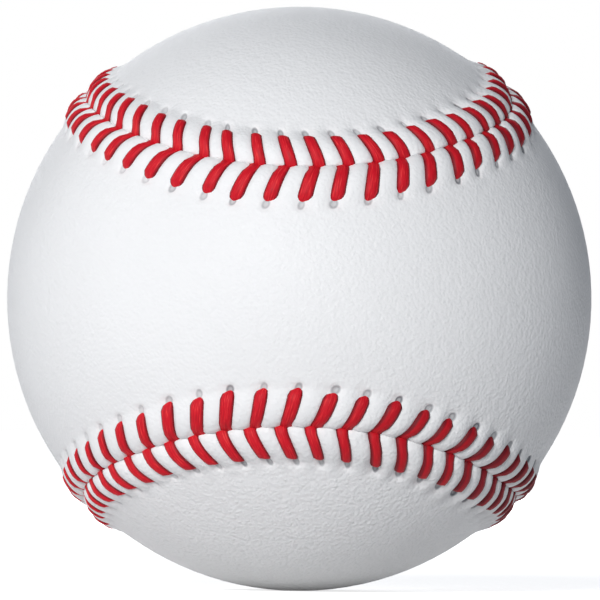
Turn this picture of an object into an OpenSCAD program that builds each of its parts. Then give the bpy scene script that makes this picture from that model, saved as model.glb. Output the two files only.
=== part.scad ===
// Baseball, opened out into the pieces that it is made of.
// The origin is the centre of the ball and +Z is up. The waist of the front
// cover panel faces -Y, and the waist of the back cover panel faces +Y.
// The seam is one closed line of twelve arcs, four alike quarters of three.

/* [Ball] */
// Diameter over the smooth leather
ball_d = 74; // [73:0.1:75]
// Thickness of the leather
leather_t = 1.25; // [1:0.05:1.5]
// Gap between one layer and the next
fit_gap = 0.05; // [0.03:0.01:0.1]

/* [Seam] */
// Half of the angle that a panel's waist spans
waist_angle = 25.8; // [24.5:0.1:27]
// Angle by which the centre of a tip arc leans from its axis
tip_tilt = 21.8; // [20.5:0.1:23]
// Half of the angle through which a tip arc turns
tip_turn = 41.4; // [39:0.2:44]
// Gap between the edges of the two panels
seam_gap = 0.3; // [0.2:0.05:0.5]
// Distance from the seam line to the crest of the raised lip
lip_crest = 1.9; // [1.7:0.1:2.1]
// Distance from the seam line to the foot of the raised lip
lip_w = 4.2; // [3.9:0.1:4.5]
// Height of the raised lip over the smooth leather
lip_h = 1; // [0.8:0.05:1.2]

/* [Stitches] */
// Number of double stitches round the whole seam
stitch_n = 108; // [100:4:112]
// Width of the flattened thread
thread_w = 1.3; // [1.1:0.05:1.4]
// Thickness of the flattened thread
thread_t = 0.7; // [0.6:0.05:0.8]
// Depth to which a stitch beds into the lip
thread_bed = 0.2; // [0.1:0.05:0.3]
// Gap between the bedded stitch and the leather
thread_gap = 0.05; // [0.03:0.01:0.08]
// Distance from the seam line to the inner end of a stitch
stitch_start = 0.4; // [0.35:0.05:0.5]
// Distance from the seam line to the hole at the outer end of a stitch
stitch_reach = 4.4; // [4.2:0.1:4.6]
// Distance along the seam by which the hole lies behind the inner end
stitch_lean = 2; // [1.7:0.1:2.2]
// Distance along the seam by which the front panel's stitches lag
stitch_lag = 0.9; // [0.7:0.1:1.1]

/* [Windings] */
// Thickness of the fine cotton winding
cotton_t = 0.4; // [0.3:0.05:0.6]
// Thickness of the outer winding of grey wool
outer_wool_t = 2.2; // [1.8:0.1:2.6]
// Thickness of the middle winding of white wool
middle_wool_t = 1.8; // [1.4:0.1:2.2]

/* [Core] */
// Diameter of the cushioned core, over its red rubber
core_d = 34.9; // [33:0.1:36]
// Thickness of the red rubber halves
red_rubber_t = 3.1; // [2.5:0.1:3.5]
// Thickness of the black rubber halves
black_rubber_t = 3.9; // [3:0.1:4.5]
// Thickness of the gasket between the black halves
gasket_t = 1.2; // [0.8:0.1:1.6]

/* [Hidden] */
quarters = 4;

// Radii of the layers, from the leather inwards
ball_r = ball_d / 2;
cover_in_r = ball_r - leather_t;
cotton_r = cover_in_r - fit_gap;
outer_wool_r = cotton_r - cotton_t - fit_gap;
middle_wool_r = outer_wool_r - outer_wool_t - fit_gap;
inner_wool_r = middle_wool_r - middle_wool_t - fit_gap;
core_r = core_d / 2;
black_r = core_r - red_rubber_t - fit_gap;
cork_r = black_r - black_rubber_t - fit_gap;
reach_all = 2 * ball_r;

// Turning a vector about an axis
function turn_x(v, a) = [v.x, v.y * cos(a) - v.z * sin(a), v.y * sin(a) + v.z * cos(a)];
function turn_z(v, a) = [v.x * cos(a) - v.y * sin(a), v.x * sin(a) + v.y * cos(a), v.z];

// A quarter of the seam is a tip arc with a side arc at each end. Each arc is a
// circle on the ball about an axis of its own. The side arcs touch the tip arc
// smoothly and end at the junctions, half way between the X and Z axes.
tip_a = 90 - waist_angle - tip_tilt;
junction = [sqrt(1 / 2), 0, sqrt(1 / 2)];
junction_tip = turn_z(turn_x(junction, -tip_tilt), -tip_turn);
touch = [0, -sin(tip_a), cos(tip_a)];
inwards = [0, cos(tip_a), sin(tip_a)];
side_a = atan2(1 - touch * junction_tip, inwards * junction_tip);
axis_step = side_a - tip_a;
junction_side = turn_x(junction_tip, axis_step);
side_turn = atan2(junction_side.x, -junction_side.y);

// Lengths along the seam, and the place of each stitch
function arc_length(a, turn) = ball_r * sin(a) * turn * PI / 180;
side_len = arc_length(side_a, side_turn);
tip_len = 2 * arc_length(tip_a, tip_turn);
quarter_len = 2 * side_len + tip_len;
function side_angle(s) = s / side_len * side_turn;
function tip_angle(s) = s / tip_len * 2 * tip_turn - tip_turn;
stitch_quarter_n = stitch_n / quarters;
stitch_pitch = quarter_len / stitch_quarter_n;
phase_share = 0.18;
stitch_places = [for (i = [0:stitch_quarter_n - 1]) (i + phase_share) * stitch_pitch];

// The lip is a round bead: a circle through its foot with its top at the crest
lip_half = lip_w - lip_crest;
lip_r = (lip_half * lip_half + lip_h * lip_h) / (2 * lip_h);
lip_centre_r = ball_r + lip_h - lip_r;
function along_ball(d) = d / ball_r * 180 / PI;
crest_a = along_ball(lip_crest);
edge_a = along_ball(seam_gap / 2);

// Rows of points across a panel, and how far its spine reaches into the lobes
lip_steps = 5;
outer_steps = 7;
inner_steps = 7;
spine_share = 0.85;

// The arc of one stitch in its own upright plane, from the seam to the hole.
// Heights are counted from the plane that touches the ball at the seam.
function fall(d) = d * d / ball_d;
stitch_rise = stitch_reach - stitch_start;
leg_len = norm([stitch_lean, stitch_rise]);
leg_turn = atan2(stitch_rise, -stitch_lean);
leg_start_h = lip_h / 2;
leg_end_h = -fall(stitch_reach);
leg_chord = norm([leg_len, leg_start_h - leg_end_h]);
leg_top_h = lip_h + thread_t / 2 - thread_bed - fall(lip_crest);
leg_sag = leg_top_h - (leg_start_h + leg_end_h) / 2;
leg_r = leg_chord * leg_chord / (8 * leg_sag) + leg_sag / 2;
leg_tilt = atan2(leg_start_h - leg_end_h, leg_len);
leg_drop = leg_r - leg_sag;
leg_centre = [
    leg_len / 2 - leg_drop * sin(leg_tilt),
    (leg_start_h + leg_end_h) / 2 - leg_drop * cos(leg_tilt)
];
leg_from = atan2(leg_end_h - leg_centre.y, leg_len - leg_centre.x);
leg_to = atan2(leg_start_h - leg_centre.y, -leg_centre.x);
bed_margin_a = along_ball(2 * stitch_reach);
bed_reach_a = along_ball(2 * lip_w);

fn_ball = 144;
fn_lip = 96;
fn_thread = 20;

// Layers inside the cover

module hollow_ball(outer_r, inner_r) {
    difference() {
        sphere(r = outer_r, $fn = fn_ball);
        sphere(r = inner_r, $fn = fn_ball);
    }
}

// All of the space above a height
module space_above(from) {
    size = 2 * reach_all;
    translate([-reach_all, -reach_all, from]) cube([size, size, size]);
}

module cork_core() {
    color("burlywood") sphere(r = cork_r, $fn = fn_ball);
}

module black_rubber_half() {
    intersection() {
        hollow_ball(black_r, cork_r + fit_gap);
        space_above(gasket_t / 2 + fit_gap);
    }
}

module black_rubber_top() {
    color("#26262a") black_rubber_half();
}

module black_rubber_bottom() {
    color("#26262a") mirror([0, 0, 1]) black_rubber_half();
}

module rubber_gasket() {
    color("#b3201e") intersection() {
        hollow_ball(black_r, cork_r + fit_gap);
        cylinder(r = reach_all, h = gasket_t, center = true);
    }
}

module red_rubber_half() {
    intersection() {
        hollow_ball(core_r, black_r + fit_gap);
        rotate([0, 90, 0]) space_above(fit_gap / 2);
    }
}

module red_rubber_right() {
    color("#c2352f") red_rubber_half();
}

module red_rubber_left() {
    color("#c2352f") mirror([1, 0, 0]) red_rubber_half();
}

module wool_winding_inner() {
    color("#8f9092") hollow_ball(inner_wool_r, core_r + fit_gap);
}

module wool_winding_middle() {
    color("#ebe7dc") hollow_ball(middle_wool_r, inner_wool_r + fit_gap);
}

module wool_winding_outer() {
    color("#9b9c9e") hollow_ball(outer_wool_r, middle_wool_r + fit_gap);
}

module cotton_winding() {
    color("#f0eee6") hollow_ball(cotton_r, outer_wool_r + fit_gap);
}

// Frames of the seam's arcs

// Quarter 0 is the top seam, which faces the front. Each next quarter follows on
// along the seam, and is the first one turned about Y and mirrored to and fro.
module in_quarter(q) {
    mirror([0, q % 2, 0]) rotate([0, q * 360 / quarters, 0]) children();
}

module in_tip() {
    rotate([tip_tilt, 0, 0]) children();
}

module in_side() {
    rotate([tip_tilt, 0, 0]) rotate([0, 0, tip_turn]) rotate([-axis_step, 0, 0]) children();
}

// A profile swept about the arc's axis, between two angles from its middle
module swept(from_turn, to_turn) {
    rotate([0, 0, from_turn - 90])
        rotate_extrude(angle = to_turn - from_turn, $fn = fn_ball) children();
}

// Cover panels

// A point of quarter 0 at a distance along it, and the direction at that point
// that leads across the seam, away from the axis of its arc
function arc_pair(a, t) = [
    [sin(t) * sin(a), -cos(t) * sin(a), cos(a)],
    [sin(t) * cos(a), -cos(t) * cos(a), -sin(a)]
];
function side_pair(t) = [
    for (v = arc_pair(side_a, t)) turn_x(turn_z(turn_x(v, -axis_step), tip_turn), tip_tilt)
];
function tip_pair(t) = [for (v = arc_pair(tip_a, t)) turn_x(v, tip_tilt)];
function flip_x(pair) = [for (v = pair) [-v.x, v.y, v.z]];
function quarter_pair(s) =
    s < side_len ? flip_x(side_pair(side_angle(side_len - s)))
    : s < side_len + tip_len ? tip_pair(tip_angle(s - side_len))
    : side_pair(side_angle(s - side_len - tip_len));

// The same turn and mirroring as in_quarter
function to_quarter(v, q) =
    q == 0 ? v : q == 1 ? [v.z, -v.y, -v.x] : q == 2 ? [-v.x, v.y, -v.z] : [-v.z, -v.y, v.x];

// A place on the whole seam, and the direction there that leads into the front
// panel, counted from the tip of the lobe on +X
function seam_pair(i) =
    let (
        place = (i + 3 * stitch_quarter_n / 2) % stitch_n,
        q = floor(place / stitch_quarter_n),
        pair = quarter_pair((place - q * stitch_quarter_n) * stitch_pitch)
    )
    [to_quarter(pair[0], q), (q % 2 == 0 ? 1 : -1) * to_quarter(pair[1], q)];

// The spine is the line on which the two halves of a panel meet
function spine_dir(b) = let (turn = spine_share * atan2(b.x, -b.y)) [sin(turn), -cos(turn), 0];
function off_seam(pair, a) = cos(a) * pair[0] + sin(a) * pair[1];
function between(u, v, share) = let (w = (1 - share) * u + share * v) w / norm(w);
function lip_surface(d) =
    let (a = along_ball(d - lip_crest), across = lip_centre_r * sin(a))
    max(ball_r, lip_centre_r * cos(a) + sqrt(max(0, lip_r * lip_r - across * across)));

// Radius of the inside's points at one row, so that the flats between them just
// reach the inside of the leather
function inside_r(pair) =
    let (across = acos(off_seam(pair, edge_a) * spine_dir(pair[0])) / inner_steps)
    cover_in_r / (cos(across / 2) * cos(along_ball(stitch_pitch) / 2));

// One row of points, over the inside of the leather from the spine to the edge
// and back to the spine over the lip and the outside
function panel_row(i) =
    let (
        pair = seam_pair(i),
        end = spine_dir(pair[0]),
        edge = off_seam(pair, edge_a),
        foot = off_seam(pair, along_ball(lip_w))
    )
    [
        for (k = [inner_steps - 1:-1:0]) inside_r(pair) * between(edge, end, k / inner_steps),
        for (k = [0:lip_steps])
            let (d = seam_gap / 2 + (lip_w - seam_gap / 2) * k / lip_steps)
            lip_surface(d) * off_seam(pair, along_ball(d)),
        for (k = [1:outer_steps - 1]) ball_r * between(foot, end, k / outer_steps)
    ];

function quad(a, b, c, d) = [[a, b, c], [a, c, d]];

module cover_panel() {
    count = stitch_n;
    half = count / 2;
    row_n = inner_steps + lip_steps + outer_steps;
    rows = [for (i = [0:count - 1]) each panel_row(i)];
    pairs = [for (i = [0:half]) seam_pair(i)];
    inner_from = count * row_n;
    outer_from = inner_from + half + 1;
    points = concat(
        rows,
        [for (pair = pairs) inside_r(pair) * spine_dir(pair[0])],
        [for (pair = pairs) ball_r * spine_dir(pair[0])]
    );
    function at(i, k) = (i % count) * row_n + k;
    function near(i) = i <= half ? i : count - i;
    faces = [
        for (i = [0:count - 1]) each concat(
            [for (k = [0:row_n - 2]) each quad(at(i, k), at(i + 1, k), at(i + 1, k + 1), at(i, k + 1))],
            quad(inner_from + near(i), inner_from + near(i + 1), at(i + 1, 0), at(i, 0)),
            quad(at(i, row_n - 1), at(i + 1, row_n - 1), outer_from + near(i + 1), outer_from + near(i))
        )
    ];
    polyhedron(points = points, faces = faces);
}

module cover_panel_front() {
    color("#f4f4f2") cover_panel();
}

module cover_panel_back() {
    color("#ececea") in_quarter(1) cover_panel();
}

// Stitches

// Section of the flattened thread
module thread_section() {
    flat = thread_w - thread_t;
    square([thread_t, flat], center = true);
    for (end = [-1, 1]) translate([0, end * flat / 2]) circle(d = thread_t, $fn = fn_thread);
}

// One stitch at a point of the seam, where +X runs along the seam and +Y into
// the lobe. It leans back along the seam from its inner end to its hole.
module stitch(ahead, side, lag) {
    translate([-ahead * lag, side * stitch_start, 0])
        mirror([ahead < 0 ? 1 : 0, 0, 0]) mirror([0, side < 0 ? 1 : 0, 0])
        rotate([0, 0, leg_turn]) translate([leg_centre.x, 0, leg_centre.y]) rotate([90, 0, 0])
        rotate([0, 0, leg_from]) rotate_extrude(angle = leg_to - leg_from, $fn = fn_lip)
        translate([leg_r, 0]) thread_section();
}

// Plane wedge from the ball's centre, between two angles from the arc's axis
module wedge(from_a, to_a) {
    polygon([[0, 0], for (a = [from_a, to_a]) reach_all * [sin(a), cos(a)]]);
}

// The stitches at some places of an arc, bedded into its lips
module arc_stitches(arc_a, turns, ahead, side, lag, from_turn, to_turn) {
    crest = arc_a - side * crest_a;
    difference() {
        for (t = turns) rotate([0, 0, t]) rotate([arc_a, 0, 0]) translate([0, 0, ball_r])
            stitch(ahead, side, lag);
        swept(from_turn - bed_margin_a, to_turn + bed_margin_a) intersection() {
            union() {
                circle(r = ball_r + thread_gap, $fn = fn_ball);
                translate(lip_centre_r * [sin(crest), cos(crest)])
                    circle(r = lip_r + thread_gap, $fn = fn_lip);
            }
            wedge(arc_a - bed_reach_a, arc_a + bed_reach_a);
        }
    }
}

// The stitches of one quarter on one side of the seam
module quarter_stitches(side, lag) {
    first = [for (s = stitch_places) if (s < side_len) side_angle(side_len - s)];
    middle = [for (s = stitch_places) if (s >= side_len && s < side_len + tip_len)
        tip_angle(s - side_len)];
    last = [for (s = stitch_places) if (s >= side_len + tip_len)
        side_angle(s - side_len - tip_len)];
    mirror([1, 0, 0]) in_side() arc_stitches(side_a, first, -1, side, lag, 0, side_turn);
    in_tip() arc_stitches(tip_a, middle, 1, side, lag, -tip_turn, tip_turn);
    in_side() arc_stitches(side_a, last, 1, side, lag, 0, side_turn);
}

module stitches_front() {
    color("#c8202c") union() {
        for (q = [0, 2]) in_quarter(q) quarter_stitches(-1, stitch_lag);
        for (q = [1, 3]) in_quarter(q) quarter_stitches(1, stitch_lag);
    }
}

module stitches_back() {
    color("#c8202c") union() {
        for (q = [0, 2]) in_quarter(q) quarter_stitches(1, 0);
        for (q = [1, 3]) in_quarter(q) quarter_stitches(-1, 0);
    }
}

cork_core();
black_rubber_top();
black_rubber_bottom();
rubber_gasket();
red_rubber_left();
red_rubber_right();
wool_winding_inner();
wool_winding_middle();
wool_winding_outer();
cotton_winding();
cover_panel_front();
cover_panel_back();
stitches_front();
stitches_back();
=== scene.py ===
# A baseball: two leather panels sewn with red thread over a wound core.
# The ball's centre is the origin and the photographed side faces -Y. All in metres.
import math

import bmesh
import bpy
from mathutils import Matrix, Vector, noise


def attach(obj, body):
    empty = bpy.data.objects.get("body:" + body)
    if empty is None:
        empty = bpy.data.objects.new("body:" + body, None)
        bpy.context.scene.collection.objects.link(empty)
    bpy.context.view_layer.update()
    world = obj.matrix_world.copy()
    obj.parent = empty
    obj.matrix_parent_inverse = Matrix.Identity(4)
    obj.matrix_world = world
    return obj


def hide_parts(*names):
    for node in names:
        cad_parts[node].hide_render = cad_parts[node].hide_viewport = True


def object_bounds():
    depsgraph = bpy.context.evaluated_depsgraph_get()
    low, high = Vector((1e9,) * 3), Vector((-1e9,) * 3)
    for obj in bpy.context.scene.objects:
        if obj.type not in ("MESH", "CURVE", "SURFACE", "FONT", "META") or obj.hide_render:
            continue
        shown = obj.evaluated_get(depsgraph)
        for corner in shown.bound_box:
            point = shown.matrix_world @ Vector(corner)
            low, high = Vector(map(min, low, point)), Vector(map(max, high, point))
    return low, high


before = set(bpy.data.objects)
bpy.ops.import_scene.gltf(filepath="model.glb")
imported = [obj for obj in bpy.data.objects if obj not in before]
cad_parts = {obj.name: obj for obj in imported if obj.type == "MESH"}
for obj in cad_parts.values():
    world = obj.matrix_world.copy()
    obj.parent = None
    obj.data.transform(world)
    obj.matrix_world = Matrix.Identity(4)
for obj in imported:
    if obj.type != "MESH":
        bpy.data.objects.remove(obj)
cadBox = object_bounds()
mm = 0.001
frontPanel, backPanel = 0, 1   # pairs of values below are in this order


# the seam: twelve arcs in four alike quarters

seam = {
    "ballRadius": 37 * mm,
    "waistAngle": 25.8,        # degrees, half of what a panel's waist spans
    "tipTilt": 21.8,           # degrees, lean of a tip arc's centre
    "tipTurn": 41.4,           # degrees, half of a tip arc
    "stitches": 108,
    "firstStitch": 0.18,       # of a stitch, after the start of a quarter
}


def turned(vector, degrees, axis):
    return Matrix.Rotation(math.radians(degrees), 3, axis) @ vector


def seamArcs():
    # a quarter is half a side arc, a tip arc and half a side arc; angles are the arcs' radii
    tipAngle = math.radians(90 - seam["waistAngle"] - seam["tipTilt"])
    junction = Vector((math.sqrt(0.5), 0, math.sqrt(0.5)))
    junctionTip = turned(turned(junction, -seam["tipTilt"], "X"), -seam["tipTurn"], "Z")
    touch = Vector((0, -math.sin(tipAngle), math.cos(tipAngle)))
    inwards = Vector((0, math.cos(tipAngle), math.sin(tipAngle)))
    sideAngle = math.atan2(1 - touch.dot(junctionTip), inwards.dot(junctionTip))
    axisStep = math.degrees(sideAngle - tipAngle)
    junctionSide = turned(junctionTip, axisStep, "X")
    sideTurn = math.atan2(junctionSide.x, -junctionSide.y)
    toTip = Matrix.Rotation(math.radians(seam["tipTilt"]), 3, "X")
    toSide = toTip @ Matrix.Rotation(math.radians(seam["tipTurn"]), 3, "Z")
    toSide = toSide @ Matrix.Rotation(math.radians(-axisStep), 3, "X")
    sideLength = math.sin(sideAngle) * sideTurn
    tipLength = 2 * math.sin(tipAngle) * math.radians(seam["tipTurn"])
    return {
        "tipAngle": tipAngle, "sideAngle": sideAngle, "sideTurn": sideTurn,
        "toTip": toTip, "toSide": toSide,
        "sideLength": sideLength, "tipLength": tipLength,
        "pitch": (2 * sideLength + tipLength) * 4 / seam["stitches"],
    }


arcs = seamArcs()
pitch = arcs["pitch"] * seam["ballRadius"]
perQuarter = seam["stitches"] / 4


def onArc(angle, turn, toBall):
    # a direction on the arc, and the one across it, away from the arc's own axis
    aside, ahead = math.sin(turn), -math.cos(turn)
    place = Vector((aside * math.sin(angle), ahead * math.sin(angle), math.cos(angle)))
    across = Vector((aside * math.cos(angle), ahead * math.cos(angle), -math.sin(angle)))
    return toBall @ place, toBall @ across


def toQuarter(place, quarter):
    if quarter == 0:
        return place
    if quarter == 1:
        return Vector((place.z, -place.y, -place.x))
    if quarter == 2:
        return Vector((-place.x, place.y, -place.z))
    return Vector((-place.z, -place.y, place.x))


def seamPlace(stitch):
    # stitches are counted from the start of the top seam, which runs from left to right;
    # the second direction leads into the front panel
    stitch %= seam["stitches"]
    quarter = min(int(stitch // perQuarter), 3)
    along = (stitch - quarter * perQuarter) * arcs["pitch"]
    side, tip, sideTurn = arcs["sideLength"], arcs["tipLength"], arcs["sideTurn"]
    if along < side:
        turn = (side - along) / side * sideTurn
        place, across = onArc(arcs["sideAngle"], turn, arcs["toSide"])
        place.x = -place.x
        across.x = -across.x
    elif along < side + tip:
        turn = ((along - side) / tip * 2 - 1) * math.radians(seam["tipTurn"])
        place, across = onArc(arcs["tipAngle"], turn, arcs["toTip"])
    else:
        turn = (along - side - tip) / side * sideTurn
        place, across = onArc(arcs["sideAngle"], turn, arcs["toSide"])
    if quarter % 2:
        across = -across
    return toQuarter(place, quarter), toQuarter(across, quarter)


def offSeam(stitch, distance):
    # direction of a point of the front panel at a distance from the seam
    place, across = seamPlace(stitch)
    angle = distance / seam["ballRadius"]
    return math.cos(angle) * place + math.sin(angle) * across


def smoothStep(low, high, value):
    share = min(max((value - low) / (high - low), 0), 1)
    return share * share * (3 - 2 * share)


# the stitches and the relief that they press into the leather

stitching = {
    "start": 0.3 * mm,         # from the seam to a leg's inner end
    "reach": (4.25 * mm, 4.35 * mm),  # from the seam to its hole
    # where the legs are longer: the stitch, over how many, and how much in each panel
    "longer": ((13, 5.5, 0.95 * mm, 0.3 * mm), (40.5, 6, 0.4 * mm, 0.95 * mm),
               (67.5, 5, 0, 0.7 * mm), (70, 6, 1.05 * mm, 0),
               (94.5, 6, 0.4 * mm, 0.95 * mm)),
    "lean": (1.3 * mm, 1.5 * mm),  # the hole lies this far behind the inner end
    "leanEnd": 1.2,            # where the lean stops, as a share of the reach
    # where the legs lean more, listed in the same way
    "leaning": ((7.5, 3, 0, 0.65 * mm), (21, 3.5, 0, -0.3 * mm),
                (63, 5, 0, 0.55 * mm), (75, 4, 0, -0.4 * mm)),
    "bow": (0.4, 0.15),        # how much of the lean comes early
    "frontLag": 0.75 * mm,     # the front panel's legs lie this far behind
    "wobble": 0.4 * mm,        # hand-sewn unevenness, and its waves over a ball radius
    "wobbleScale": 11,
    "wobblePanelStep": 3.1,
    "spacingSeed": 0,
    "leanSeed": 5,
    # where the spacing runs uneven, in stitches, listed in the same way
    "drift": ((60.5, 5, 0.3, 0.65), (6.5, 3.5, 0.2, 0.27), (13.5, 4, 0.025, 0.02),
              (20, 3, -0.1, -0.12), (69, 5, 0.06, 0.02), (75.5, 3, -0.13, -0.22)),
    "width": 1.82 * mm,        # of a leg, measured along the seam
    # where the leather closes over the legs: how much of the width is lost
    "narrower": ((76.5, 2, 0.3, 0), (80, 3, 0.42, 0.42)),
    "thickness": 1.2 * mm,
    "sink": 0.43 * mm,         # into the pressed leather
    "narrowSink": 0.3 * mm,    # how much deeper a leg would lie that lost all its width
}

relief = {
    "crest": 1.95 * mm,        # from the seam to the top of the lip
    "reach": 3.3 * mm,         # from the crest to the lip's foot
    "puff": 0.87 * mm,         # height of the leather between two stitches
    "puffWiden": 1.19,         # keeps it standing up at the seam
    "puffFall": (0.78, 1.5),   # powers of its fall towards the seam and outwards
    "bed": 0.36 * mm,          # height of the leather under a stitch
    "bedAtSeam": -0.45 * mm,
    "bedFall": (1.3, 1.2),
    "bedHalf": 0.15,           # half the bed's width, in stitches
    "pucker": (0.05 * mm, 0.08 * mm),  # ripples that run on past the lip
    "puckerEnd": 6.9 * mm,
    # where the ripples are deeper: the stitch, over how many, and how much in each panel
    "pulled": ((60, 9, 0.09 * mm, 0.24 * mm), (21, 5, 0.03 * mm, 0.06 * mm)),
    "edgeRoll": 0.07 * mm,     # how far the cut edge turns down
    "edgeRollWidth": 0.25 * mm,
    "holeAside": 0.25 * mm,    # the hole lies this far behind the leg's middle
    "holeLength": 0.66 * mm,   # half
    "holeWidth": 0.46 * mm,    # half
    "holeDepth": 0.25 * mm,
    "rimHeight": 0.09 * mm,    # of the leather pulled up past a hole
    "rimAway": 0.9 * mm,
    "rimLength": 0.5 * mm,
    "rimTaper": 0.4,           # less is wider
}


def uneven(stitch, panel, seed):
    # the same slow unevenness for the thread and for the leather under it
    place = seamPlace(stitch)[0] * stitching["wobbleScale"]
    shift = Vector((seed, stitching["wobblePanelStep"] * panel, 0))
    return noise.noise(place + shift) * stitching["wobble"]


def humps(listed, stitch, panel):
    # a sum of smooth humps along the seam
    counted = (stitch + panel * perQuarter) % seam["stitches"]
    return sum(much[panel] * math.exp(-((counted - at) / over) ** 2) for at, over, *much in listed)


def legReach(stitch, panel):
    return stitching["reach"][panel] + humps(stitching["longer"], stitch, panel)


def threadLine(stitch, panel, distance):
    # how far along the seam, in stitches, a leg's centre lies at a distance from it
    start = stitching["start"]
    along = (distance - start) / (legReach(stitch, panel) - start)
    along = min(max(along, 0), stitching["leanEnd"])
    along *= 1 + stitching["bow"][panel] * (1 - along)
    lean = stitching["lean"][panel] + uneven(stitch, panel, stitching["leanSeed"])
    lean += humps(stitching["leaning"], stitch, panel)
    lag = stitching["frontLag"] if panel == frontPanel else 0
    ahead = uneven(stitch, panel, stitching["spacingSeed"]) - lag - lean * along
    return ahead / pitch - humps(stitching["drift"], stitch, panel)


def lipFall(distance, innerWidth, powers):
    # 1 on the lip's crest, 0 at its foot and at the inner width towards the seam
    fromCrest = distance - relief["crest"]
    width, power = (relief["reach"], powers[1]) if fromCrest > 0 else (innerWidth, powers[0])
    return max(1 - (fromCrest / width) ** 2, 0) ** power


def bedHeight(distance):
    # leather under a stitch
    low = relief["bedAtSeam"] if distance < relief["crest"] else 0
    return low + (relief["bed"] - low) * lipFall(distance, relief["crest"], relief["bedFall"])


def puffHeight(distance):
    # leather between two stitches
    innerWidth = relief["crest"] * relief["puffWiden"]
    return relief["puff"] * lipFall(distance, innerWidth, relief["puffFall"])


def leatherHeight(distance, offThread, reach, pucker):
    # offThread counts in stitches from the nearest leg's centre, -0.5 to 0.5
    bedHalf = relief["bedHalf"]
    rise = min(max((abs(offThread) - bedHalf) / (0.5 - bedHalf), 0), 1)
    pillow = math.sqrt(1 - (1 - rise) ** 2)
    bed = bedHeight(distance)
    height = bed + (puffHeight(distance) - bed) * pillow
    fade = smoothStep(relief["crest"], reach, distance)
    fade *= 1 - smoothStep(reach, relief["puckerEnd"], distance)
    height -= pucker * fade * math.cos(2 * math.pi * offThread)
    height -= relief["edgeRoll"] * math.exp(-(distance / relief["edgeRollWidth"]) ** 2)
    across = (offThread * pitch + relief["holeAside"]) / relief["holeWidth"]
    along = (distance - reach) / relief["holeLength"]
    past = (distance - reach - relief["rimAway"]) / relief["rimLength"]
    height += relief["rimHeight"] * math.exp(-across * across * relief["rimTaper"] - past * past)
    return height - relief["holeDepth"] * math.exp(-across * across - along * along)


# what both kinds of piece go through last

# the cover is drawn round a little where the seam turns towards the back
twist = {
    "most": 2.0,               # degrees about the photograph's line of sight
    "from": -0.42,             # depths, in ball radii, between which it grows
    "to": -0.02,
    "sideFrom": -1,            # and the same from one side of the ball to the other
    "sideTo": 0.3,
    "heightCounts": 0.4,       # how much the height counts beside the width
}


def twisted(place):
    far = seam["ballRadius"]
    turn = twist["most"] * smoothStep(twist["from"], twist["to"], place.y / far)
    side = (place.x + twist["heightCounts"] * place.z) / far
    turn *= smoothStep(twist["sideFrom"], twist["sideTo"], side)
    return turned(place, -turn, "Y")


def finishPiece(bm, name, panel):
    # both panels are made as the front one, and the back one is turned a quarter
    if panel == backPanel:
        for vert in bm.verts:
            vert.co = toQuarter(vert.co, 1)
    bmesh.ops.recalc_face_normals(bm, faces=bm.faces)
    for vert in bm.verts:
        vert.co = twisted(vert.co)
    mesh = bpy.data.meshes.new(name)
    bm.to_mesh(mesh)
    bm.free()
    piece = bpy.data.objects.new(name, mesh)
    bpy.context.scene.collection.objects.link(piece)
    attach(piece, "root")
    return piece


# leather panels

leather = {
    "thickness": 1.25 * mm,
    "edge": 0.02 * mm,         # from the seam line to a panel's edge
    "columnsPerStitch": 16,
    "innerRows": 8,
    "wallRows": (1, 0.7, 0.4),  # shares of the way down the cut edge
    "lipRows": 27,
    "lipCrowding": 1.25,       # brings the rows closer together at the seam
    "lipEnd": 7.1 * mm,
    "outerRows": 12,
    "straightFrom": 0.6,       # share of the way to the middle where the rows' shear ends
    "spineShare": 0.85,        # how far the line down a panel's middle reaches into its lobes
    "mapUnit": 10 * mm,        # distance from the seam that 1 in the seamMap stands for
    "holeMark": 5 * mm,        # where the seamMap puts the holes, whatever a leg's length
    "mergeWithin": 1e-7,
}


def spineDirection(column):
    place = seamPlace(1.5 * perQuarter + column / leather["columnsPerStitch"])[0]
    turn = leather["spineShare"] * math.atan2(place.x, -place.y)
    return Vector((math.sin(turn), -math.cos(turn), 0))


def panelRows():
    # from the middle of the inside, round the edge, to the middle of the outside
    innerRows, steps, outerRows = leather["innerRows"], leather["lipRows"], leather["outerRows"]
    lipWidth = leather["lipEnd"] - leather["edge"]
    crowded = [(k / steps) ** leather["lipCrowding"] for k in range(steps + 1)]
    inner = [("inside", 1 - k / innerRows) for k in range(innerRows)]
    wall = [("wall", depth) for depth in leather["wallRows"]]
    lip = [("lip", leather["edge"] + lipWidth * share) for share in crowded]
    outer = [("outside", (k + 1) / outerRows) for k in range(outerRows)]
    return inner + wall + lip + outer


def mapDistance(kind, value):
    if kind == "lip":
        return value
    return leather["lipEnd"] * (1 + value) if kind == "outside" else 0


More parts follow.
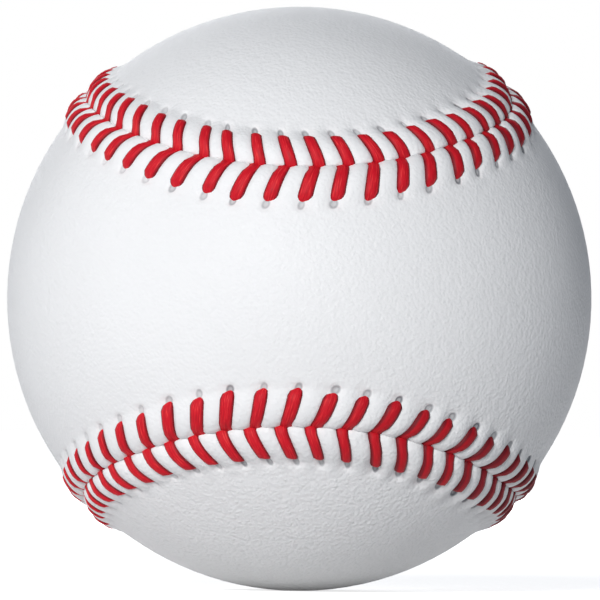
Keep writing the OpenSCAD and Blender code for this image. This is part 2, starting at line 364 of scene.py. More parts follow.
def makePanel(name, panel):
    rows = panelRows()
    perStitch = leather["columnsPerStitch"]
    columns = seam["stitches"] * perStitch
    firstColumn = round((1.5 * perQuarter - seam["firstStitch"]) * perStitch)
    radius = seam["ballRadius"]
    edge = leather["edge"]
    bm = bmesh.new()
    bmesh.ops.create_grid(bm, x_segments=columns, y_segments=len(rows) - 1, size=1)
    layer = bm.loops.layers.uv.new("seamMap")
    cells = {}
    for vert in bm.verts:
        column = round((vert.co.x + 1) / 2 * columns)
        row = round((vert.co.y + 1) / 2 * (len(rows) - 1))
        cells[vert] = (column, row)
    spines = [spineDirection(column) for column in range(columns + 1)]
    stitchAt = [(firstColumn + column) / perStitch for column in range(columns + 1)]
    reaches = [legReach(stitch + seam["firstStitch"], panel) for stitch in stitchAt]
    for vert, (column, row) in cells.items():
        kind, value = rows[row]
        stitch = stitchAt[column]
        reach = reaches[column]
        place = stitch + seam["firstStitch"]
        offThread = stitch - round(stitch)
        pucker = relief["pucker"][panel] + humps(relief["pulled"], place, panel)
        if kind == "lip":
            direction = offSeam(place + threadLine(place, panel, value), value)
            vert.co = direction * (radius + leatherHeight(value, offThread, reach, pucker))
        elif kind == "wall":
            direction = offSeam(place + threadLine(place, panel, edge), edge)
            top = leatherHeight(edge, offThread, reach, pucker)
            vert.co = direction * (radius + top - (top + leather["thickness"]) * value)
        else:
            distance = leather["lipEnd"] if kind == "outside" else edge
            straighten = 1 - smoothStep(0, leather["straightFrom"], value)
            shear = threadLine(place, panel, distance) * straighten
            direction = offSeam(place + shear, distance).slerp(spines[column], value)
            inRadius = radius - leather["thickness"]
            vert.co = direction * (radius if kind == "outside" else inRadius)
    for face in bm.faces:
        face.smooth = True
        for loop in face.loops:
            column, row = cells[loop.vert]
            fromHole = mapDistance(*rows[row]) - reaches[column]
            outwards = (fromHole + leather["holeMark"]) / leather["mapUnit"]
            loop[layer].uv = (stitchAt[column], outwards)
    bmesh.ops.remove_doubles(bm, verts=bm.verts, dist=leather["mergeWithin"])
    return finishPiece(bm, name, panel)


# red thread

thread = {
    "sides": 8,
    "rings": 9,
    "ringCrowding": 1.5,       # brings the rings closer together at the hole
    "topShare": 0.7,           # how much of the round section's corners go to its top
    "backCut": 0.12 * mm,      # how far a back leg's cut end lies past the seam
    "frontTuck": 0.5 * mm,     # how far a front leg runs on under its partner
    "frontDip": 0.45 * mm,     # how deep it lies there
    "dipSpan": (-0.5 * mm, 0.9 * mm),  # distances from the seam between which it rises
    "lipSink": 0.24 * mm,      # a leg sinks with the lip from this distance on
    "lipSinkFrom": 2 * mm,
    "dive": 0.85 * mm,         # its end dives into the hole, over this length
    "diveLength": 1.1 * mm,
    "divePower": 1.7,
    "pastHole": 0.15 * mm,
    "endRound": 1.1 * mm,      # length of the rounded outer end
    "endNarrow": 0.92,         # how much of the section the very end loses, squared
    "endAside": 0.35,          # how far the end moves to one side, of half the width
    # hand-sewn differences: how much, and the noise's steps and seed
    "widthVaries": (0.12, 0.83, 7.7, 1.5),
    "lengthVaries": (0.07, 0.77, 5.3, 8.2),
}


def varied(differences, number, panel):
    much, step, panelStep, seed = differences
    return 1 + much * noise.noise(Vector((number * step, panel * panelStep, seed)))


def legCentre(panel, along, reach):
    # distance from the seam and height of a leg's centre, along from 0 at the seam to 1
    inner = -thread["frontTuck"] if panel == frontPanel else -thread["backCut"]
    outer = reach + thread["pastHole"]
    distance = inner + (outer - inner) * (1 - (1 - along) ** thread["ringCrowding"])
    lift = stitching["thickness"] / 2 - stitching["sink"]
    height = bedHeight(max(distance, 0)) + lift
    if panel == frontPanel:
        height -= thread["frontDip"] * (1 - smoothStep(*thread["dipSpan"], distance))
    height -= thread["lipSink"] * smoothStep(thread["lipSinkFrom"], outer, distance)
    diving = smoothStep(reach - thread["diveLength"], outer, distance)
    height -= thread["dive"] * diving ** thread["divePower"]
    return distance, height


def makeStitches(name, panel):
    # one straight leg, copied and bent into place for each stitch
    sides, endRound = thread["sides"], thread["endRound"]
    bm = bmesh.new()
    layer = bm.loops.layers.uv.new("threadMap")
    bmesh.ops.create_cone(bm, cap_ends=True, segments=sides, radius1=1, radius2=1, depth=1)
    for vert in bm.verts:
        # most corners lie on the rounded top, and the walls run straight down from it
        angle = math.atan2(vert.co.x, vert.co.y) * thread["topShare"]
        vert.co.x = math.sin(angle)
        up = math.cos(angle)
        vert.co.y = up if up > 0 else -1
    ribs = [edge for edge in bm.edges if edge.verts[0].co.z * edge.verts[1].co.z < 0]
    bmesh.ops.subdivide_edges(bm, edges=ribs, cuts=thread["rings"] - 1, use_grid_fill=True)
    for face in bm.faces:
        face.smooth = True
    straight = bm.verts[:] + bm.edges[:] + bm.faces[:]
    for number in range(seam["stitches"]):
        copied = bmesh.ops.duplicate(bm, geom=straight)["geom"]
        verts = [item for item in copied if isinstance(item, bmesh.types.BMVert)]
        for face in (item for item in copied if isinstance(item, bmesh.types.BMFace)):
            for loop in face.loops:
                loop[layer].uv = (number + loop.vert.co.z + 0.5, loop.vert.co.x)
        place = number + seam["firstStitch"]
        reach = legReach(place, panel)
        lost = humps(stitching["narrower"], place, panel)
        wide = varied(thread["widthVaries"], number, panel) * (1 - lost)
        long = varied(thread["lengthVaries"], number, panel)
        for vert in verts:
            distance, height = legCentre(panel, vert.co.z + 0.5, reach)
            height -= stitching["narrowSink"] * lost
            # the outer end is rounded towards its hole
            ending = min(max(distance - reach + endRound, 0) / endRound, 1)
            distance *= long
            narrow = math.sqrt(1 - thread["endNarrow"] * ending ** 2)
            aside = vert.co.x * narrow - (1 - narrow) * thread["endAside"]
            aside *= stitching["width"] / 2 * wide
            rounded = vert.co.y * stitching["thickness"] / 2 * narrow
            atSeam = place + threadLine(place, panel, distance) + aside / pitch
            vert.co = offSeam(atSeam, distance) * (seam["ballRadius"] + height + rounded)
    bmesh.ops.delete(bm, geom=straight, context="VERTS")
    return finishPiece(bm, name, panel)


# tools for the materials

def newMaterial(name):
    material = bpy.data.materials.new(name)
    material.use_nodes = True
    tree = material.node_tree
    tree.nodes.clear()
    output = tree.nodes.new("ShaderNodeOutputMaterial")
    shader = tree.nodes.new("ShaderNodeBsdfPrincipled")
    tree.links.new(shader.outputs["BSDF"], output.inputs["Surface"])
    return material, tree, shader


def feed(tree, socket, value):
    if isinstance(value, bpy.types.NodeSocket):
        tree.links.new(value, socket)
    else:
        socket.default_value = value


def addNode(tree, kind, settings=None, **inputs):
    # inputs: a number, a colour, or an output to link; underscores stand for spaces
    node = tree.nodes.new(kind)
    for key, value in (settings or {}).items():
        setattr(node, key, value)
    for key, value in inputs.items():
        label = int(key[5:]) if key.startswith("input") else key.replace("_", " ")
        feed(tree, node.inputs[label], value)
    return node


def mathNode(tree, operation, *values):
    named = {f"input{i}": value for i, value in enumerate(values)}
    return addNode(tree, "ShaderNodeMath", {"operation": operation}, **named).outputs[0]


def times(tree, first, second):
    return mathNode(tree, "MULTIPLY", first, second)


def squared(tree, value):
    return mathNode(tree, "POWER", mathNode(tree, "ABSOLUTE", value), 2.0)


def mixColour(tree, factor, first, second, blend="MIX"):
    node = addNode(tree, "ShaderNodeMix", {"data_type": "RGBA", "blend_type": blend}, input0=factor)
    feed(tree, node.inputs[6], first)
    feed(tree, node.inputs[7], second)
    return node.outputs[2]


def ramp(tree, value, low, high, first=0, last=1):
    node = addNode(tree, "ShaderNodeMapRange", {"interpolation_type": "SMOOTHSTEP"}, Value=value)
    node.inputs["From Min"].default_value = low
    node.inputs["From Max"].default_value = high
    node.inputs["To Min"].default_value = first
    node.inputs["To Max"].default_value = last
    return node.outputs["Result"]


def objectPlace(tree):
    coords = tree.nodes.new("ShaderNodeTexCoord")
    return coords.outputs["Object"]


def lowerSide(tree, place, heightCounts=-0.35):
    # grows across the ball, and a little downwards
    return mathNode(tree, "MULTIPLY_ADD", place.outputs["Z"], heightCounts, place.outputs["X"])


def setBump(tree, shader, height, distance, strength):
    bump = addNode(tree, "ShaderNodeBump", Height=height, Distance=distance, Strength=strength)
    tree.links.new(bump.outputs["Normal"], shader.inputs["Normal"])


def newGroup(name, inputs, outputs):
    group = bpy.data.node_groups.new(name, "ShaderNodeTree")
    for label, kind, value in inputs:
        socket = group.interface.new_socket(name=label, in_out="INPUT", socket_type=kind)
        if value is not None:
            socket.default_value = value
    for label, kind in outputs:
        group.interface.new_socket(name=label, in_out="OUTPUT", socket_type=kind)
    return group, group.nodes.new("NodeGroupInput"), group.nodes.new("NodeGroupOutput")


# white leather

leatherGrain = {
    # scales are counts over a metre, or shares of the scale that a material gives
    "warpScale": 500.0,
    "warp": 0.7 * mm,
    "cellSoftness": 0.6,
    "cellHeight": -0.7,
    "fineScale": 1.7,
    "fineHeight": 0.35,
    "wrinkleScale": 0.35,
    "wrinkleHeight": 0.8,
    "mottleScale": 60.0,
}


def leatherGrainGroup():
    # fine wrinkled pebble grain
    group, given, out = newGroup(
        "leatherGrain",
        [("Vector", "NodeSocketVector", None), ("Scale", "NodeSocketFloat", 1700.0)],
        [("Height", "NodeSocketFloat"), ("Mottle", "NodeSocketFloat")],
    )
    vector, scale = given.outputs["Vector"], given.outputs["Scale"]
    warp = addNode(group, "ShaderNodeTexNoise",
                   Vector=vector, Scale=leatherGrain["warpScale"], Detail=2.0)
    offset = addNode(group, "ShaderNodeVectorMath", {"operation": "SCALE"},
                     input0=warp.outputs["Color"], Scale=leatherGrain["warp"])
    moved = addNode(group, "ShaderNodeVectorMath", {"operation": "ADD"},
                    input0=vector, input1=offset.outputs[0]).outputs[0]
    cells = addNode(group, "ShaderNodeTexVoronoi", {"feature": "SMOOTH_F1"}, Vector=moved,
                    Scale=scale, Smoothness=leatherGrain["cellSoftness"])
    fineScale = times(group, scale, leatherGrain["fineScale"])
    fine = addNode(group, "ShaderNodeTexNoise", Vector=vector, Scale=fineScale, Detail=3.0)
    wrinkleScale = times(group, scale, leatherGrain["wrinkleScale"])
    wrinkle = addNode(group, "ShaderNodeTexNoise", Vector=moved, Scale=wrinkleScale, Detail=4.0)
    height = times(group, cells.outputs["Distance"], leatherGrain["cellHeight"])
    fineHeight = times(group, fine.outputs["Fac"], leatherGrain["fineHeight"])
    height = mathNode(group, "ADD", height, fineHeight)
    wrinkleHeight = times(group, wrinkle.outputs["Fac"], leatherGrain["wrinkleHeight"])
    height = mathNode(group, "ADD", height, wrinkleHeight)
    mottle = addNode(group, "ShaderNodeTexNoise",
                     Vector=vector, Scale=leatherGrain["mottleScale"], Detail=3.0)
    group.links.new(height, out.inputs["Height"])
    group.links.new(mottle.outputs["Fac"], out.inputs["Mottle"])
    return group


leatherLook = {
    # a span gives the two values between which a look changes
    "base": (0.838, 0.838, 0.842, 1),
    # painted light: the raised lips by the seam are a little lighter
    "lip": (0.842, 0.843, 0.848, 1),
    "lipSpan": (3.6 * mm, 5.4 * mm),   # distances from the seam
    "mottleSpan": (0.35, 0.65),
    "mottleShare": 0.985,      # brightness of the dullest patches
    # painted shade in the needle holes
    "hole": (0.085, 0.095, 0.115, 1),
    "faintHole": 0.45,         # how strong the faintest and the strongest painted hole shade is
    "strongHole": 0.76,
    "shadedSideHole": 1.0,         # and those on the ball's shaded side, painted darker there
    "shadedSideSpan": (4 * mm, 24 * mm),
    "litSideHole": 0.35,        # share of it that is left on the lit side
    "litSideSpan": (-26 * mm, -8 * mm),
    "holeEdge": (0.4, 1.4),    # distances from a hole's middle, squared, in its half widths
    "holeMiddle": (0.0, 0.5),
    "holeMiddleShare": 0.65,   # the painted shade of a hole is darkest round its rim
    "grainScale": 2000.0,
    "grainDepth": 0.11 * mm,
    "grainStrength": 0.75,
    "coarseSpan": (-6 * mm, -34 * mm),  # the grain is coarser towards the bottom and one side
    "coarseTilt": -0.3,
    "coarseGrain": 1.8,
    "roughness": 0.5,
    "pitRoughness": 0.62,
    "pitSpan": (0.0, 0.6),
    "specular": 0.35,
}


def paintedHoleShade(tree, split, place):
    # painted shade in and round the holes, darker on the ball's shaded side: how dark the leather is
    # there
    offThread = mathNode(tree, "FRACT", mathNode(tree, "ADD", split.outputs["X"], 0.5))
    across = times(tree, mathNode(tree, "SUBTRACT", offThread, 0.5), pitch)
    across = mathNode(tree, "ADD", across, relief["holeAside"])
    across = mathNode(tree, "DIVIDE", across, relief["holeWidth"])
    distance = times(tree, split.outputs["Y"], leather["mapUnit"])
    outwards = mathNode(tree, "SUBTRACT", distance, leather["holeMark"])
    outwards = mathNode(tree, "DIVIDE", outwards, relief["holeLength"])
    far = mathNode(tree, "ADD", squared(tree, across), squared(tree, outwards))
    counted = mathNode(tree, "ROUND", split.outputs["X"])
    chance = addNode(tree, "ShaderNodeTexWhiteNoise", {"noise_dimensions": "1D"}, W=counted)
    faint, strong = leatherLook["faintHole"], leatherLook["strongHole"]
    share = ramp(tree, chance.outputs["Value"], 0, 1, faint, strong)
    # painted shade that grows towards the ball's shaded side and fades on its lit side
    pulled = leatherLook["shadedSideHole"] - strong
    pulled = ramp(tree, lowerSide(tree, place), *leatherLook["shadedSideSpan"], 0, pulled)
    share = mathNode(tree, "ADD", share, pulled)
    litSideShare = leatherLook["litSideHole"]
    share = times(tree, share, ramp(tree, place.outputs["X"], *leatherLook["litSideSpan"], litSideShare))
    mark = ramp(tree, far, *leatherLook["holeEdge"], 1, 0)
    middle = ramp(tree, far, *leatherLook["holeMiddle"], leatherLook["holeMiddleShare"])
    return times(tree, times(tree, mark, middle), share), distance


def leatherMaterial(grain):
    material, tree, shader = newMaterial("whiteLeather")
    coords = objectPlace(tree)
    place = addNode(tree, "ShaderNodeSeparateXYZ", input0=coords)
    uv = addNode(tree, "ShaderNodeUVMap", {"uv_map": "seamMap"})
    split = addNode(tree, "ShaderNodeSeparateXYZ", input0=uv.outputs["UV"])
    hole, distance = paintedHoleShade(tree, split, place)
    grained = addNode(tree, "ShaderNodeGroup", {"node_tree": grain},
                      Vector=coords, Scale=leatherLook["grainScale"])
    # painted light on the raised lips by the seam
    onLip = ramp(tree, distance, *leatherLook["lipSpan"], 1, 0)
    mottle = grained.outputs["Mottle"]
    mottle = ramp(tree, mottle, *leatherLook["mottleSpan"], leatherLook["mottleShare"])
    colour = mixColour(tree, onLip, leatherLook["base"], leatherLook["lip"])
    colour = mixColour(tree, 1.0, colour, mottle, "MULTIPLY")
    # painted shade in the holes
    colour = mixColour(tree, hole, colour, leatherLook["hole"])
    tree.links.new(colour, shader.inputs["Base Color"])
    height = grained.outputs["Height"]
    pits, smooth = leatherLook["pitRoughness"], leatherLook["roughness"]
    rough = ramp(tree, height, *leatherLook["pitSpan"], pits, smooth)
    tree.links.new(rough, shader.inputs["Roughness"])
    shader.inputs["Specular IOR Level"].default_value = leatherLook["specular"]
    low = mathNode(tree, "MULTIPLY_ADD",
                   place.outputs["X"], leatherLook["coarseTilt"], place.outputs["Z"])
    coarse = ramp(tree, low, *leatherLook["coarseSpan"], 1, leatherLook["coarseGrain"])
    setBump(tree, shader, times(tree, height, coarse),
            leatherLook["grainDepth"], leatherLook["grainStrength"])
    return material


# red waxed thread

threadLook = {
    "base": (0.6, 0.006, 0.018, 1),
    "streak": (0.86, 0.06, 0.055, 1),
    "shade": (0.4, 0.005, 0.012, 1),
    # painted shade, on a leg's sides and on the shaded side of the ball
    "edge": (0.1, 0.005, 0.01, 1),
    "fibreScale": (4.0, 6.0, 1.0),     # along a leg and across it
    "streakSpan": (0.52, 0.72),
    "troughSpan": (0.5, 0.32),
    "edgeShadeSpan": (0.53, 0.95),  # painted shade on a leg's sides, from its middle, in half widths
    "edgeShadeShare": 0.88,
    "fibreShare": 0.7,         # how strong streaks, the painted shade in troughs and the painted shade on one side are
    # painted shade: the thread is darker towards one side of the ball, where less light falls; how
    # far across the ball this begins and ends
    "paintedShadeSpan": (3 * mm, 26 * mm),
    "paintedShadeWiden": 0.22,         # how much wider the painted dark edges are there
    # painted shade, darker near the ball's outline on that side
    "paintedDarkSpan": (22 * mm, 29 * mm),
    "paintedDarkShare": 0.45,
    "paintedLowShadeSpan": (25 * mm, 31.5 * mm),   # and painted shade darker still low down on that side
    "paintedLowShadeShare": 0.6,
    "roughness": (0.5, 0.65),
    "roughSpan": (0.3, 0.7),
    "specular": 0.2,
    "fibreDepth": 0.08 * mm,
    "fibreStrength": 0.5,
}


def threadMaterial():
    look = threadLook
    material, tree, shader = newMaterial("redWaxedThread")
    uv = addNode(tree, "ShaderNodeUVMap", {"uv_map": "threadMap"})
    stretch = addNode(tree, "ShaderNodeMapping", Vector=uv.outputs["UV"], Scale=look["fibreScale"])
    noisy = addNode(tree, "ShaderNodeTexNoise", Vector=stretch.outputs[0], Scale=1.0, Detail=3.0)
    fibres = noisy.outputs["Fac"]
    split = addNode(tree, "ShaderNodeSeparateXYZ", input0=uv.outputs["UV"])
    place = addNode(tree, "ShaderNodeSeparateXYZ", input0=objectPlace(tree))
    lower = lowerSide(tree, place)
    streaks = ramp(tree, fibres, *look["streakSpan"])
    troughs = ramp(tree, fibres, *look["troughSpan"])
    # painted shade: darker, with wider dark edges, towards one side of the ball
    paintedShade = ramp(tree, lower, *look["paintedShadeSpan"])
    aside = mathNode(tree, "ABSOLUTE", split.outputs["Y"])
    aside = mathNode(tree, "MULTIPLY_ADD", paintedShade, look["paintedShadeWiden"], aside)
    # painted shade along a leg's sides, where it meets the leather
    edgeShade = ramp(tree, aside, *look["edgeShadeSpan"])
    share = look["fibreShare"]
    colour = mixColour(tree, times(tree, streaks, share), look["base"], look["streak"])
    colour = mixColour(tree, times(tree, troughs, share), colour, look["shade"])
    colour = mixColour(tree, times(tree, paintedShade, share), colour, look["shade"])
    colour = mixColour(tree, times(tree, edgeShade, look["edgeShadeShare"]), colour, look["edge"])
    # painted shade near the outline on that side, and low down on it
    paintedDark = ramp(tree, place.outputs["X"], *look["paintedDarkSpan"], 0, look["paintedDarkShare"])
    low = ramp(tree, lower, *look["paintedLowShadeSpan"], 0, look["paintedLowShadeShare"])
    colour = mixColour(tree, mathNode(tree, "MAXIMUM", paintedDark, low), colour, look["edge"])
    tree.links.new(colour, shader.inputs["Base Color"])
    rough = ramp(tree, fibres, *look["roughSpan"], *look["roughness"])
    tree.links.new(rough, shader.inputs["Roughness"])
    shader.inputs["Specular IOR Level"].default_value = look["specular"]
    setBump(tree, shader, fibres, look["fibreDepth"], look["fibreStrength"])
    return material


# materials of the wound core, which the cover hides

yarnLook = {
    "windings": ((0.3, 0.2, 0.0), (1.2, 0.5, 0.9), (0.4, 1.5, 2.1), (2.0, 0.9, 1.4)),
    "strandWaver": 1.2,
    "waverScale": 0.4,
    "strandHeight": 0.3,
    "overScale": 75.0,         # counts over a metre, of the patches that lie on top
    "poleDrop": 0.5,           # a winding has no rings at its poles: others cover them
    "fuzzScale": 3000.0,
    "litSpan": (0.45, 0.85),
    "fuzzSpan": (0.3, 0.7),
    "fuzzShade": 0.8,
    "fuzzHeight": 0.12,
    "specular": 0.15,
    "sheen": 0.3,
    "depth": 0.6 * mm,
    "strength": 0.9,
}

granuleLook = {
    "jointEnd": 0.12,          # of a grain's width
    "jointShare": 0.6,
    "tintShare": 0.6,
    "speckShare": 0.5,
    "speckScale": 2,           # specks are finer than the grains by this
    "speckSpan": (0.3, 0.7),
    "roughStep": 0.1,
    "depth": 0.08 * mm,
    "strength": 0.6,
}

coreLooks = {
    # strands and grains are counts over a metre
    "greyWool": {
        "deep": (0.1, 0.105, 0.12, 1), "pale": (0.36, 0.37, 0.4, 1),
        "strands": 260.0, "rough": 0.95,
    },
    "whiteWool": {
        "deep": (0.42, 0.4, 0.36, 1), "pale": (0.82, 0.8, 0.74, 1),
        "strands": 300.0, "rough": 0.95,
    },
    "cottonYarn": {
        "deep": (0.5, 0.48, 0.43, 1), "pale": (0.86, 0.84, 0.78, 1),
        "strands": 620.0, "rough": 0.85,
    },
    "pressedCork": {
        "deep": (0.2, 0.1, 0.045, 1), "pale": (0.55, 0.34, 0.18, 1),
        "grains": 560.0, "rough": 0.8,
    },
    "blackRubber": {
        "deep": (0.012, 0.012, 0.013, 1), "pale": (0.03, 0.03, 0.032, 1),
        "grains": 2200.0, "rough": 0.55,
    },
    "redRubber": {
        "deep": (0.3, 0.03, 0.022, 1), "pale": (0.46, 0.055, 0.04, 1),
        "grains": 2000.0, "rough": 0.6,
    },
}


def woundYarnGroup():
    # strands that run several ways round the ball, the highest lying on top
    group, given, out = newGroup(
        "woundYarn",
        [("Vector", "NodeSocketVector", None), ("Strands", "NodeSocketFloat", 300.0)],
        [("Height", "NodeSocketFloat"), ("Fuzz", "NodeSocketFloat")],
    )
    vector = given.outputs["Vector"]
    highest = None
    for turn in yarnLook["windings"]:
        mapping = addNode(group, "ShaderNodeMapping", Vector=vector, Rotation=turn)
        wound = mapping.outputs[0]
        strand = addNode(group, "ShaderNodeTexWave", Vector=wound, Scale=given.outputs["Strands"],
                         Distortion=yarnLook["strandWaver"], Detail_Scale=yarnLook["waverScale"])
        over = addNode(group, "ShaderNodeTexNoise",
                       Vector=wound, Scale=yarnLook["overScale"], Detail=1.0)
        height = mathNode(group, "MULTIPLY_ADD", strand.outputs["Fac"],
                          yarnLook["strandHeight"], over.outputs["Fac"])
        outwards = addNode(group, "ShaderNodeVectorMath", {"operation": "NORMALIZE"}, input0=wound)
        pole = addNode(group, "ShaderNodeSeparateXYZ", input0=outwards.outputs[0])
        drop = times(group, squared(group, pole.outputs["X"]), yarnLook["poleDrop"])
        height = mathNode(group, "SUBTRACT", height, drop)
        highest = height if highest is None else mathNode(group, "MAXIMUM", highest, height)
    fuzz = addNode(group, "ShaderNodeTexNoise",
                   Vector=vector, Scale=yarnLook["fuzzScale"], Detail=3.0)
    group.links.new(highest, out.inputs["Height"])
    group.links.new(fuzz.outputs["Fac"], out.inputs["Fuzz"])
    return group


def granuleGroup():
    # grains pressed together, with a thin dark line between them
    group, given, out = newGroup(
        "pressedGranules",
        [("Vector", "NodeSocketVector", None), ("Scale", "NodeSocketFloat", 600.0)],
        [("Tint", "NodeSocketFloat"), ("Joint", "NodeSocketFloat")],
    )
    vector, scale = given.outputs["Vector"], given.outputs["Scale"]
    grain = addNode(group, "ShaderNodeTexVoronoi", Vector=vector, Scale=scale)
    edges = addNode(group, "ShaderNodeTexVoronoi", {"feature": "DISTANCE_TO_EDGE"},
                    Vector=vector, Scale=scale)
    tint = addNode(group, "ShaderNodeSeparateXYZ", input0=grain.outputs["Color"])
    joint = ramp(group, edges.outputs["Distance"], 0.0, granuleLook["jointEnd"], 1, 0)
    group.links.new(tint.outputs["X"], out.inputs["Tint"])
    group.links.new(joint, out.inputs["Joint"])
    return group


def yarnMaterial(name, yarn):
    look = coreLooks[name]
    material, tree, shader = newMaterial(name)
    wound = addNode(tree, "ShaderNodeGroup", {"node_tree": yarn},
                    Vector=objectPlace(tree), Strands=look["strands"])
    height, fuzz = wound.outputs["Height"], wound.outputs["Fuzz"]
    # painted shade: strands that lie lower are darker, those on top lighter
    lit = ramp(tree, height, *yarnLook["litSpan"])
    colour = mixColour(tree, lit, look["deep"], look["pale"])
    fleck = ramp(tree, fuzz, *yarnLook["fuzzSpan"], yarnLook["fuzzShade"])
    colour = mixColour(tree, 1.0, colour, fleck, "MULTIPLY")
    tree.links.new(colour, shader.inputs["Base Color"])
    shader.inputs["Roughness"].default_value = look["rough"]
    shader.inputs["Specular IOR Level"].default_value = yarnLook["specular"]
    shader.inputs["Sheen Weight"].default_value = yarnLook["sheen"]
    rise = mathNode(tree, "MULTIPLY_ADD", fuzz, yarnLook["fuzzHeight"], height)
    setBump(tree, shader, rise, yarnLook["depth"], yarnLook["strength"])
    return material


def granuleMaterial(name, granules):
    look = coreLooks[name]
    material, tree, shader = newMaterial(name)
    coords = objectPlace(tree)
    pressed = addNode(tree, "ShaderNodeGroup", {"node_tree": granules},
                      Vector=coords, Scale=look["grains"])
    tint, joint = pressed.outputs["Tint"], pressed.outputs["Joint"]
    speckScale = look["grains"] * granuleLook["speckScale"]
    speckNoise = addNode(tree, "ShaderNodeTexNoise", Vector=coords, Scale=speckScale, Detail=3.0)
    speck = speckNoise.outputs["Fac"]
    tone = times(tree, tint, granuleLook["tintShare"])
    tone = mathNode(tree, "MULTIPLY_ADD", speck, granuleLook["speckShare"], tone)
    colour = mixColour(tree, tone, look["deep"], look["pale"])
    atJoint = times(tree, joint, granuleLook["jointShare"])
    colour = mixColour(tree, atJoint, colour, look["deep"])
    tree.links.new(colour, shader.inputs["Base Color"])
    step = granuleLook["roughStep"]
    rough = ramp(tree, speck, *granuleLook["speckSpan"], look["rough"] - step, look["rough"] + step)
    tree.links.new(rough, shader.inputs["Roughness"])
    setBump(tree, shader, mathNode(tree, "SUBTRACT", speck, joint),
            granuleLook["depth"], granuleLook["strength"])
    return material


# camera, floor and lights

view = {
    "ballPixels": 292.2,       # radius of the ball in the photograph
    "centrePixels": (299.3, 298.8),
    "framePixels": 600,
    "distance": 40,            # in ball radii
    "pitch": 0.48,             # degrees
    "roll": 0.71,
    "sensorWidth": 36,
    "clip": (0.05, 100),
}


def makeCamera():
    data = bpy.data.cameras.new("photoCamera")
    far, frameWidth = view["distance"], view["framePixels"]
    across, down = view["centrePixels"]
    data.sensor_width = view["sensorWidth"]
    data.lens = view["ballPixels"] * math.sqrt(far * far - 1) / frameWidth * data.sensor_width
    data.shift_x = (frameWidth / 2 - across) / frameWidth
    data.shift_y = (down - frameWidth / 2) / frameWidth
    data.clip_start, data.clip_end = view["clip"]
    camera = bpy.data.objects.new("photoCamera", data)
    tilt = Matrix.Rotation(math.radians(view["roll"]), 4, "Y").inverted()
    tilt = tilt @ Matrix.Rotation(math.radians(-view["pitch"]), 4, "X").inverted()
    stand = Matrix.Translation((0, -far * seam["ballRadius"], 0))
    stand = stand @ Matrix.Rotation(math.radians(90), 4, "X")
    camera.matrix_world = tilt @ stand
    bpy.context.scene.collection.objects.link(camera)
    bpy.context.scene.camera = camera


floorLook = {
    "halfSize": 6,
    "base": (0.81, 0.81, 0.81, 1),
    "rough": 0.9,
    # white to the eye, and a little less near the ball, where its shadow shows
    "glowSpan": (0.12, 0.6),
    "glow": (0.68, 1.0),
}


def makeFloor():
    bm = bmesh.new()
    bmesh.ops.create_grid(bm, x_segments=1, y_segments=1, size=floorLook["halfSize"])
    bmesh.ops.translate(bm, verts=bm.verts, vec=(0, 0, cadBox[0][2]))
    mesh = bpy.data.meshes.new("paleFloor")
    bm.to_mesh(mesh)
    bm.free()
    floor = bpy.data.objects.new("paleFloor", mesh)
    bpy.context.scene.collection.objects.link(floor)
    material, tree, shader = newMaterial("paleFloor")
    shader.inputs["Base Color"].default_value = floorLook["base"]
    shader.inputs["Roughness"].default_value = floorLook["rough"]
    shader.inputs["Specular IOR Level"].default_value = 0.0
    shader.inputs["Emission Color"].default_value = (1, 1, 1, 1)
    path = tree.nodes.new("ShaderNodeLightPath")
    seen = mathNode(tree, "MAXIMUM", path.outputs["Is Camera Ray"], path.outputs["Is Glossy Ray"])
    away = addNode(tree, "ShaderNodeVectorMath", {"operation": "LENGTH"}, input0=objectPlace(tree))
    glow = ramp(tree, away.outputs["Value"], *floorLook["glowSpan"], *floorLook["glow"])
    tree.links.new(times(tree, seen, glow), shader.inputs["Emission Strength"])
    mesh.materials.append(material)


lights = {
    # name: place, width and height, watts, colour; each is aimed at the ball
    "key": ((-0.33, -1.37, 0.495), (0.55, 0.55), 17.8, (1.0, 1.0, 1.0)),
    "left": ((-1.45, 0.2, 0.3), (1.4, 1.2), 6.8, (1.0, 1.0, 1.0)),
    "back": ((-0.05, 1.38, 0.5), (1.0, 0.8), 9.0, (0.97, 0.98, 1.0)),
}


def makeLights():
    for name, (place, size, power, colour) in lights.items():
        data = bpy.data.lights.new(name, "AREA")
        data.shape = "RECTANGLE"
        data.size, data.size_y = size
        data.energy = power
        data.color = colour
        lamp = bpy.data.objects.new(name, data)
        lamp.location = place
        lamp.rotation_euler = Vector(place).to_track_quat("Z", "Y").to_euler()
        bpy.context.scene.collection.objects.link(lamp)


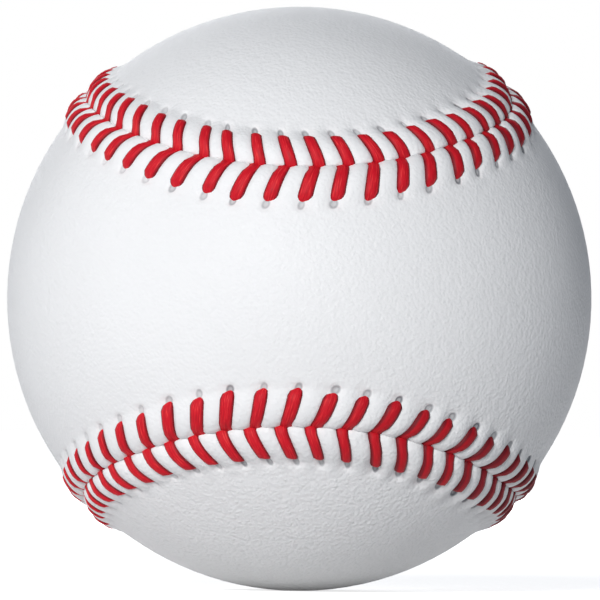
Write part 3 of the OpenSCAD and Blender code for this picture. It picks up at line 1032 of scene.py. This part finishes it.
studio = {
    "tint": (0.72, 0.83, 1.0, 1),   # what lights the ball, and what the camera sees
    "strength": 0.14,
    "seen": (1, 1, 1, 1),
}


def makeWorld():
    world = bpy.data.worlds.new("studio")
    world.use_nodes = True
    tree = world.node_tree
    tree.nodes.clear()
    path = tree.nodes.new("ShaderNodeLightPath")
    around = addNode(tree, "ShaderNodeBackground", Color=studio["tint"], Strength=studio["strength"])
    white = addNode(tree, "ShaderNodeBackground", Color=studio["seen"], Strength=1.0)
    mix = addNode(tree, "ShaderNodeMixShader", input0=path.outputs["Is Camera Ray"],
                  input1=around.outputs[0], input2=white.outputs[0])
    output = tree.nodes.new("ShaderNodeOutputWorld")
    tree.links.new(mix.outputs[0], output.inputs["Surface"])
    bpy.context.scene.world = world


makeCamera()
makeFloor()
makeLights()
makeWorld()
bpy.context.scene.view_settings.view_transform = "Standard"
print("camera, floor and lights are set")

whiteLeather = leatherMaterial(leatherGrainGroup())
redThread = threadMaterial()
pieces = [
    (makePanel("leatherPanelFront", frontPanel), "cover_panel_front", "leather", whiteLeather),
    (makePanel("leatherPanelBack", backPanel), "cover_panel_back", "leather", whiteLeather),
    (makeStitches("threadFront", frontPanel), "stitches_front", "thread", redThread),
    (makeStitches("threadBack", backPanel), "stitches_back", "thread", redThread),
]
for piece, node, slot, material in pieces:
    piece.data.materials.append(material)
    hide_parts(node)
    print(piece.name, len(piece.data.polygons), "faces")

yarn = woundYarnGroup()
granules = granuleGroup()
cork = granuleMaterial("pressedCork", granules)
black = granuleMaterial("blackRubber", granules)
red = granuleMaterial("redRubber", granules)
grey = yarnMaterial("greyWool", yarn)
coreNodes = {
    "cork_core": cork,
    "black_rubber_top": black, "black_rubber_bottom": black,
    "rubber_gasket": red, "red_rubber_left": red, "red_rubber_right": red,
    "wool_winding_inner": grey, "wool_winding_outer": grey,
    "wool_winding_middle": yarnMaterial("whiteWool", yarn),
    "cotton_winding": yarnMaterial("cottonYarn", yarn),
}
for name, material in coreNodes.items():
    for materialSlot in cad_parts[name].material_slots:
        materialSlot.material = material
print(len(coreNodes), "parts of the wound core have their finish")
